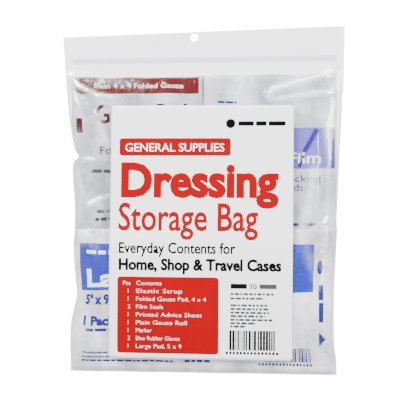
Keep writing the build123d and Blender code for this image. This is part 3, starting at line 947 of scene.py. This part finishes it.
# what each pack holds: the rim's round, the corners, the share of the node's depth, and how it is padded
filling = {
    "trauma_dressing": {"node": "trauma_pad", "pack": "trauma", "finish": "gauze", "slot": "dressing_cloth",
                        "round": 6.0, "corner": 8.0, "thick": 0.92, "padded": 0.5},
    "folded_gauze": {"node": "dressing_pad", "pack": "dressing", "finish": "gauze", "slot": "dressing_cloth",
                     "round": 3.0, "corner": 3.0, "thick": 0.9, "padded": 0.4},
    "chest_film_a": {"node": "chest_seal_a", "pack": "chest_a", "finish": "gel", "slot": "seal_gel",
                     "round": 2.0, "corner": 22.0, "thick": 0.6},
    "chest_film_b": {"node": "chest_seal_b", "pack": "chest_b", "finish": "gel", "slot": "seal_gel",
                     "round": 2.0, "corner": 22.0, "thick": 0.6},
}


quilting = {"depth": 0.04, "pitch": 0.55}


def insidePack(name, held):
    # a pad or seal, kept inside the room that its pack's sheets leave
    spec = packs[held["pack"]]
    low, high = nodeBox(held["node"])
    outLow, outHigh = nodeBox(spec["nodes"][0])
    outer = outHigh - outLow
    halfDepth = (high.y - low.y) / 2

    def share(a, b, size):
        x, z = low.x + a - outLow.x, low.z + b - outLow.z
        near = min(x, z, outer.x - x, outer.z - z)
        swell = ease((near - spec["rim"]) / spec["run"]) ** 0.8
        free = (outer.y - packSheet["gap"]) * swell - 1.6 * spec["crush"]
        quilt = 1 - quilting["depth"] * (1 - math.sin(a * quilting["pitch"]) * math.sin(b * quilting["pitch"]))
        return min(held["thick"] * rimRound(a, b, size, held["round"]) * quilt, max(free, 0.12) / halfDepth)
    piece = slabPiece(name, low, high, share, finishes[held["finish"]], 3.5, held["corner"])
    settle(piece, held["slot"], held["node"])


for name, held in filling.items():
    insidePack(name, held)

roll = {"turns": 9, "segments": 40, "radius": 8.4, "length": 62.0, "waist": 0.02}


def gauzeRoll():
    # a wound strip: its end faces step in and out where the turns lie on each other
    low, high = nodeBox("gauze_roll")
    turns, radius, length = roll["turns"], roll["radius"], roll["length"]
    end = [(0.12, 0.0)]          # share of the radius and how far the end stands out, from the middle
    for n in range(turns):
        bulge = 0.30 + 0.5 * random.Random(n).random()
        end += [((n + 0.12) / turns, 0.25), ((n + 0.88) / turns, bulge), ((n + 0.98) / turns, -0.6)]
    end[-1] = (1.0, -0.9)
    points = [(-length / 2 - bulge, share * radius) for share, bulge in end]
    points += [(length * t / 8, radius * (1 + roll["waist"] * math.sin(3 * t))) for t in range(-3, 4)]
    points += [(-x, r) for x, r in reversed(points[:len(end)])]
    bm = bmesh.new()
    profile = [bm.verts.new((x, r, 0)) for x, r in points]
    edges = [bm.edges.new(pair) for pair in zip(profile, profile[1:])]
    bmesh.ops.spin(bm, geom=profile + edges, cent=(0, 0, 0), axis=(1, 0, 0), dvec=(0, 0, 0), angle=math.tau,
                   steps=roll["segments"], use_merge=True)
    bmesh.ops.holes_fill(bm, edges=[edge for edge in bm.edges if edge.is_boundary], sides=0)
    centre = (low + high) / 2
    for vert in bm.verts:
        vert.co = metres(*(centre + vert.co))
    bmesh.ops.recalc_face_normals(bm, faces=bm.faces[:])
    settle(finishMesh(bm, "rolled_gauze", finishes["gauze"]), "dressing_cloth", "gauze_roll")


gauzeRoll()


# gloves
gloveForm = {"fingers": 4, "fingerRun": 0.60, "lobe": 7.0, "wristIn": 0.10, "thumbLean": -0.42,
             "thumbWidth": 7.0, "step": 1.2, "corner": 9.0}


def gloveShape(a, b, size):
    # fingers folded back over the palm, the thumb across it and a rolled cuff
    tip = gloveForm["fingerRun"] * size[1]
    groove = abs(math.sin(math.pi * gloveForm["fingers"] * a / size[0]))
    share = 0.66 + 0.05 * wander(a, b, 8, 41.0) + 0.04 * wander(a * 3, b, 9, 44.0)
    share += 0.34 * (groove ** 0.5 - 0.62) * ease(b / 6) * ease((tip - b) / 6)
    away = abs(a - 0.52 * size[0] - gloveForm["thumbLean"] * (b - 0.78 * size[1])) / gloveForm["thumbWidth"]
    share += 0.22 * max(0.0, 1 - away * away) ** 0.5 * ease((0.90 * size[1] - b) / 8) * ease((b - tip) / 4)
    share -= 0.22 * math.exp(-((b - tip) / 1.8) ** 2)
    share += 0.20 * math.exp(-((size[1] - 2.0 - b) / 1.3) ** 2)
    return min(share, 0.98) * rimRound(a, b, size, 3.0)


def gloveOutline(x, b, half, size):
    # the finger ends make lobes along the fold and the wrist is a little narrower
    wrist = 1 - gloveForm["wristIn"] * ease((b - 0.62 * size[1]) / 18) * ease((0.95 * size[1] - b) / 6)
    lobe = 1 - abs(math.sin(math.pi * gloveForm["fingers"] * (x + half) / (2 * half))) ** 0.6
    return x * wrist, b + gloveForm["lobe"] * lobe * ease(1 - b / (0.3 * size[1]))


for node in ("glove_left", "glove_right"):
    low, high = nodeBox(node)
    glove = slabPiece(node + "_folded", low, high, gloveShape, finishes["glove"],
                      gloveForm["step"], gloveForm["corner"])
    size = high - low
    centre = (low.x + high.x) / 2
    for vert in glove.data.vertices:
        x, b = vert.co.x / mm - middleX - centre, vert.co.z / mm - low.z
        x, b = gloveOutline(x, b, size.x / 2, (size.x, size.z))
        vert.co.x, vert.co.z = (x + centre + middleX) * mm, (b + low.z) * mm
    settle(glove, "glove_rubber", node)
print("contents done")


# strips of webbing and paper
def ribbonPiece(name, xRange, points, thickness, material, across=8, closed=False):
    # a strip whose length follows (y, z) points; its map runs across and along in metres
    bm = bmesh.new()
    rows = len(points) - 1
    bmesh.ops.create_grid(bm, x_segments=across, y_segments=rows, size=0.5)
    flat = bm.loops.layers.uv.new("UVMap")
    width = xRange[1] - xRange[0]
    run = [0.0]
    for (y, z), (v, w) in zip(points, points[1:]):
        run.append(run[-1] + math.hypot(v - y, w - z))
    for face in bm.faces:
        for loop in face.loops:
            row = round((loop.vert.co.y + 0.5) * rows)
            loop[flat].uv = ((loop.vert.co.x + 0.5) * width * mm, run[row] * mm)
    for vert in bm.verts:
        y, z = points[round((vert.co.y + 0.5) * rows)]
        vert.co = metres(xRange[0] + (vert.co.x + 0.5) * width, y, z)
    if closed:
        bmesh.ops.remove_doubles(bm, verts=bm.verts[:], dist=1e-6)
    bmesh.ops.recalc_face_normals(bm, faces=bm.faces[:])
    return thicken(finishMesh(bm, name, material), thickness, offset=0.0)


def stadium(y, z, depth, length, wave=0.0, seed=0.0):
    # points round a flattened loop, straight sides up and down
    radius, half = depth / 2, (length - depth) / 2
    points = []
    for side in (1, -1):
        for n in range(24):
            at = side * half * (1 - 2 * n / 24)
            points.append((y + side * (radius + wave * wander(at, side, 22, seed)), z + at))
        for n in range(8):
            turn = math.pi * n / 8
            points.append((y + side * radius * math.cos(turn), z - side * (half + radius * math.sin(turn))))
    return points + points[:1]


thread = {"pitch": 3.0, "size": (2.1, 0.5, 0.62), "edge": 0.14, "lift": 0.10}


def stitches(name, rows, yFace, finish, slotName, body="root"):
    # rows of (x, z, x, z): thread lying in short runs on a piece's rear face
    bm = bmesh.new()
    for x, z, u, w in rows:
        length = math.hypot(u - x, w - z)
        count = max(1, round(length / thread["pitch"]))
        turned = Matrix.Rotation(-math.atan2(w - z, u - x), 3, "Y")
        for n in range(count):
            share = (n + 0.5) / count
            made = bmesh.ops.create_cube(bm, size=1.0)["verts"]
            bmesh.ops.scale(bm, vec=thread["size"], verts=made)
            bmesh.ops.rotate(bm, cent=(0, 0, 0), matrix=turned, verts=made)
            bmesh.ops.translate(bm, vec=(x + (u - x) * share, 0, z + (w - z) * share), verts=made)
    bmesh.ops.bevel(bm, geom=bm.edges[:], offset=thread["edge"], segments=1, affect="EDGES", profile=0.5,
                    material=-1)
    for vert in bm.verts:
        vert.co = metres(vert.co.x, yFace + thread["lift"] + vert.co.y, vert.co.z)
    bmesh.ops.recalc_face_normals(bm, faces=bm.faces[:])
    settle(finishMesh(bm, name, finish), slotName, body=body)


def boxStitch(x, z, half, tall):
    # a sewn box with both its diagonals
    left, right, low, high = x - half, x + half, z - tall / 2, z + tall / 2
    return [(left, low, right, low), (right, low, right, high), (right, high, left, high),
            (left, high, left, low), (left, low, right, high), (left, high, right, low)]


# tourniquet
webs = {
    "outerWall": 1.8, "outerIn": 0.3, "outerWave": 0.25,              # the outer band's loop
    "innerWall": 1.2, "innerIn": (1.4, 2.0),                          # the tightening band's loop
    "tailWall": 1.6, "tailIn": 0.4, "tailWave": 0.1, "tailRows": 20,  # the free end
    "riserWall": 2.2, "riserShare": 0.96, "riserWaist": 0.25,         # the twisted band below the rod
    "tabStitch": (17, 15),                                            # half width and height
    "upperStitch": (74, 14, 7), "lowerStitch": (-72, 14, 10),         # from the middle, half width, height
    "strapStitch": {"rear": 4, "front": 3, "edge": 2},                # how far in from its ends and edges
}


def outerBands():
    low, high = nodeBox("outer_band")
    middleY, middleZ = (low.y + high.y) / 2, (low.z + high.z) / 2
    wall, inset = webs["outerWall"], webs["outerIn"]
    loop = stadium(middleY, middleZ, high.y - low.y - wall, high.z - low.z - wall, webs["outerWave"], 2.0)
    band = ribbonPiece("tourniquet_band", (low.x + inset, high.x - inset), loop, wall,
                       finishes["black"], 16, True)
    settle(band, "black_webbing", "outer_band")
    rows = []
    for away, half, tall in (webs["upperStitch"], webs["lowerStitch"]):
        rows += boxStitch(0, middleZ + away, half, tall)
    stitches("band_thread", rows, high.y - 0.05, finishes["grey"], "grey_webbing")
    inLow, inHigh = nodeBox("inner_band")
    depth, length = inHigh.y - inLow.y - webs["innerIn"][0], inHigh.z - inLow.z - webs["innerIn"][1]
    band = ribbonPiece("tightening_band", (inLow.x, inHigh.x), stadium(middleY, middleZ, depth, length),
                       webs["innerWall"], finishes["grey"], 10, True)
    settle(band, "grey_webbing", "inner_band")


def freeEnd():
    low, high = nodeBox("band_free_end")
    rows, inset = webs["tailRows"], webs["tailIn"]
    points = [((low.y + high.y) / 2 + webs["tailWave"] * math.sin(n), low.z + (high.z - low.z) * n / rows)
              for n in range(rows + 1)]
    band = ribbonPiece("band_tail", (low.x + inset, high.x - inset), points, webs["tailWall"],
                       finishes["black"], 16)
    settle(band, "black_webbing", "band_free_end")
    low, high = nodeBox("pull_tab")
    tab = slabPiece("red_pull_tab", low, high, lambda a, b, size: 0.92 * rimRound(a, b, size, 1.0),
                    finishes["red"], 1.5, 5.0)
    settle(tab, "red_webbing", "pull_tab")
    rows = boxStitch((low.x + high.x) / 2, (low.z + high.z) / 2, *webs["tabStitch"])
    stitches("tab_thread", rows, high.y, finishes["grey"], "grey_webbing")


def twistedBand():
    # the tightening band between the plate, where it stays, and the rod, which turns it
    low, high = nodeBox("band_riser")
    loopLow, loopHigh = nodeBox("outer_band")
    middleZ = (loopLow.z + loopHigh.z) / 2
    tall, wide = high.y - low.y, high.x - low.x
    bm = bmesh.new()
    bmesh.ops.create_grid(bm, x_segments=10, y_segments=24, size=0.5)
    flat = bm.loops.layers.uv.new("UVMap")
    for face in bm.faces:
        for corner in face.loops:
            corner[flat].uv = (corner.vert.co.x * wide * mm, corner.vert.co.y * tall * mm)
    for vert in bm.verts:
        up = vert.co.y + 0.5
        across = vert.co.x * wide * webs["riserShare"] * (1 - webs["riserWaist"] * math.sin(math.pi * up))
        turn = math.pi / 2 * ease(up)
        vert.co = metres(across * math.cos(turn), low.y + up * tall, middleZ + across * math.sin(turn))
    riser = thicken(finishMesh(bm, "twisting_band", finishes["grey"]), webs["riserWall"], offset=0.0)
    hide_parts("band_riser")
    start, end = metres(0, low.y + 1, middleZ), metres(0, high.y - 0.5, middleZ)
    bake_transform(riser)
    low, high = nodeBox("rod_band_loop")
    eye = slabPiece("band_in_rod", low - Vector((0, 0.1, 0)), high + Vector((0, 0.4, 0)),
                    lambda a, b, size: rimRound(a, b, size, 0.8), finishes["grey"], 0.8)
    settle(eye, "grey_webbing", "rod_band_loop", body="windlass")


def securingStrap():
    low, high = nodeBox("securing_strap")
    strap = slabPiece("white_securing_strap", low, high, lambda a, b, size: 0.95 * rimRound(a, b, size, 0.6),
                      finishes["strap"], 1.5, 2.5)
    settle(strap, "white_strap", "securing_strap", body="strap")
    form = webs["strapStitch"]
    rows = [(x, low.z + form["edge"], x, high.z - form["edge"])
            for x in (high.x - form["rear"], low.x + form["front"])]
    stitches("strap_thread", rows, high.y, finishes["black"], "black_webbing", "strap")


# leaflet
paper = {"folds": 3, "wall": 0.16, "wave": 0.10, "columns": 4, "columnStep": 53, "columnWidth": 42,
         "small": 1.4, "gap": 3.6}


def foldedLeaflet():
    low, high = nodeBox("instruction_leaflet")
    pitch = (high.y - low.y - 0.3) / (paper["folds"] - 1)
    points = []
    for n in range(paper["folds"]):
        y = low.y + 0.15 + n * pitch
        heights = [low.z + 0.4 + (high.z - low.z - 0.8) * k / 16 for k in range(17)]
        if n:
            turn, way = points[-1][1], -1 if n % 2 else 1
            for k in (1, 2, 3):
                angle = math.pi * k / 4
                points.append((y - pitch / 2 * (1 + math.cos(angle)), turn + way * 0.3 * math.sin(angle)))
        if n % 2 == 0:
            heights.reverse()
        points += [(y + paper["wave"] * wander(n, z, 20, 50.0), z) for z in heights]
    sheet = ribbonPiece("folded_leaflet", (low.x, high.x), points, paper["wall"], finishes["leaf"], 20)
    settle(sheet, "leaflet_paper", "instruction_leaflet")
    draw = random.Random(23)
    bm = bmesh.new()
    for column in range(paper["columns"]):
        left = 6 + column * paper["columnStep"]
        addBlock(bm, left, 82, 30, 3.2, 0.4)
        addLines(bm, left, 74, paper["small"], paper["columnWidth"], draw, 5, paper["gap"], 0.3)
        addDisc(bm, left + 20, 42, 9.0, 20)
        addLines(bm, left, 26, paper["small"], paper["columnWidth"], draw, 6, paper["gap"], 0.3)
    piece = stick(bm, "leaflet_print", finishes["greyInk"],
                  lambda a, b: metres(high.x - a, high.y + 0.02, low.z + b), 0.0, outward=1)
    settle(piece, "leaflet_paper")


outerBands()
freeEnd()
twistedBand()
securingStrap()
foldedLeaflet()

# pieces whose own shape stays, in a better finish
dressed = {
    "nylon": ("windlass_rod", "windlass_clip", "base_plate", "buckle"),
    "barrel": ("marker_barrel", "marker_plug"), "cap": ("marker_cap",), "felt": ("marker_nib",),
    "zip": ("zip_rib", "zip_groove"),
}
for finish, pieces in dressed.items():
    for node in pieces:
        for place in nodes[node].material_slots:
            place.material = finishes[finish]
print("tourniquet, leaflet and marker done")

# camera, lights and stage
shot = {"distance": 1.2, "azimuth": 6.5, "acrossMid": -2.5, "downMid": -162.5, "viewWidth": 0.4,
        "sensor": 36.0}
target = metres(shot["acrossMid"], 0, shot["downMid"])
turnAngle = math.radians(shot["azimuth"])
cameraData = bpy.data.cameras.new("camera")
cameraData.sensor_width = shot["sensor"]
cameraData.lens = shot["sensor"] * shot["distance"] / shot["viewWidth"]
camera = bpy.data.objects.new("camera", cameraData)
camera.location = target + Vector((math.sin(turnAngle), -math.cos(turnAngle), 0)) * shot["distance"]
camera.rotation_euler = (math.pi / 2, 0, turnAngle)
bpy.context.scene.collection.objects.link(camera)
bpy.context.scene.camera = camera


def softLight(name, place, size, power):
    lamp = bpy.data.lights.new(name, "AREA")
    lamp.shape, lamp.size, lamp.size_y, lamp.energy = "RECTANGLE", size[0], size[1], power
    piece = bpy.data.objects.new(name, lamp)
    piece.location = place
    piece.rotation_euler = (target - Vector(place)).to_track_quat("-Z", "Y").to_euler()
    bpy.context.scene.collection.objects.link(piece)


lights = {  # place, size and power
    "keyLight": ((-1.0, -1.0, 0.8), (0.9, 1.1), 88), "fillLight": ((1.3, -0.9, 0.3), (0.7, 1.2), 60),
    "backLight": ((0.7, 1.7, 0.7), (1.4, 1.4), 60), "topLight": ((0.0, -0.1, 1.4), (1.6, 1.0), 50),
}
for name, (place, size, power) in lights.items():
    softLight(name, place, size, power)


class Surround(Finish):
    # the studio's white surround, brighter to the camera where nothing clear is in front of it
    def __init__(self, world, plain, seenThrough, bareExtra):
        world.use_nodes = True
        self.tree = world.node_tree
        self.tree.nodes.clear()
        seen = self.node("LightPath", out="Is Camera Ray")
        bare = 1 - self.node("LightPath", out="Transparent Depth").least(1.0)
        strength = plain + seen * (seenThrough + bare * bareExtra)
        glow = self.node("Background", {}, {"Color": paint(1, 1, 1), "Strength": strength})
        output = self.tree.nodes.new("ShaderNodeOutputWorld")
        self.tree.links.new(glow.end, output.inputs["Surface"])


studio = bpy.data.worlds.new("studio")
Surround(studio, plain=0.5, seenThrough=3.4, bareExtra=14.0)
bpy.context.scene.world = studio

stage = {"radius": 6.0, "drop": 0.0004}
bm = bmesh.new()
bmesh.ops.create_circle(bm, cap_ends=True, segments=64, radius=stage["radius"])
bmesh.ops.translate(bm, vec=(0, 0, bottomZ * mm - stage["drop"]), verts=bm.verts[:])
backdrop = finishMesh(bm, "backdrop", finishes["stage"])
print("stage set")
